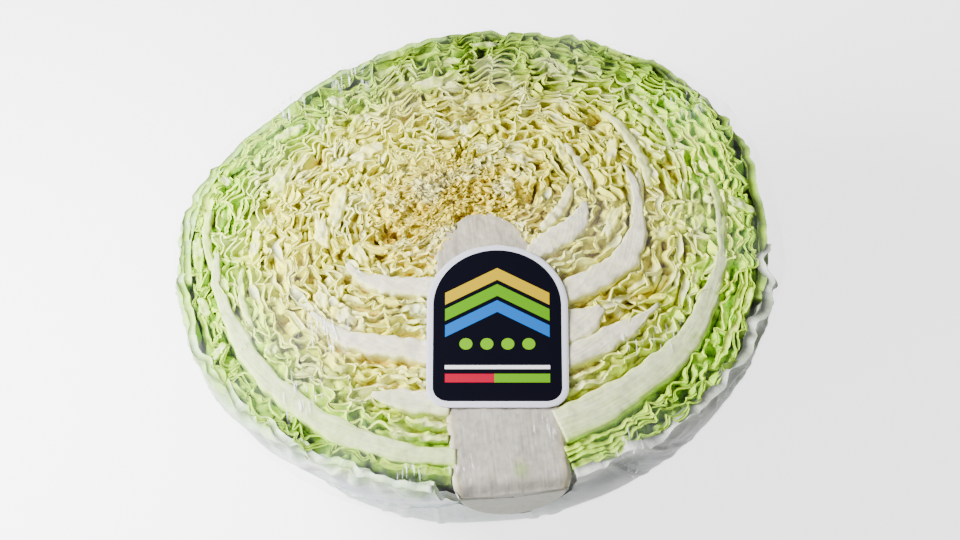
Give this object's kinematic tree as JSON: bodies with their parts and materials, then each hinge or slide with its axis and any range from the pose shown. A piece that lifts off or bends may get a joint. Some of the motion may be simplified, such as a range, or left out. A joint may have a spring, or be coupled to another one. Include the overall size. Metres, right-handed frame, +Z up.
{
  "type": "savoy cabbage half",
  "caption": "Savoy cabbage head cut in half lengthwise, cut face up, showing stalk, ribs and crinkled leaves, in cling film with a plain label.",
  "frame": {"origin": "on the ground, at the middle of the bounding box's bottom face, in the middle of the flat rest spot under the dome", "axes": "+Z up, out of the cut face; -Y towards the stem end; +X to the right as seen from above with the stem end nearest"},
  "size_m": [0.1989, 0.1731, 0.0928],
  "materials": {
    "stalk": "moist cut flesh, pale ivory",
    "heart_leaf": "soft, pale yellow, crumpled",
    "inner_leaf": "crinkled, pale yellow",
    "middle_leaf": "crinkled, yellow green",
    "outer_leaf": "crinkled, green",
    "wrapper_green": "netted with veins, green",
    "wrapper_base": "smooth pale base, waxy",
    "film": "clear, glossy",
    "label": "coated, near-black with a pale border"
  },
  "bodies": {
    "root": {"stalk": "stalk", "heart": "heart_leaf", "cling_film": "film", "label": "label", "wrapper_leaf": "wrapper_base", "wrapper_leaf_left": "wrapper_green", "wrapper_leaf_top": "wrapper_green", "leaf_right_01": "outer_leaf", "leaf_right_02": "outer_leaf", "leaf_right_03": "middle_leaf", "leaf_right_04": "middle_leaf", "leaf_right_05": "middle_leaf", "leaf_right_06": "middle_leaf", "leaf_right_07": "inner_leaf", "leaf_right_08": "inner_leaf", "leaf_right_09": "inner_leaf", "leaf_right_10": "inner_leaf", "leaf_left_01": "outer_leaf", "leaf_left_02": "outer_leaf", "leaf_left_03": "middle_leaf", "leaf_left_04": "middle_leaf", "leaf_left_05": "middle_leaf", "leaf_left_06": "middle_leaf", "leaf_left_07": "inner_leaf", "leaf_left_08": "inner_leaf", "leaf_left_09": "inner_leaf", "leaf_left_10": "inner_leaf", "leaf_left_11": "inner_leaf"}
  },
  "joints": []
}
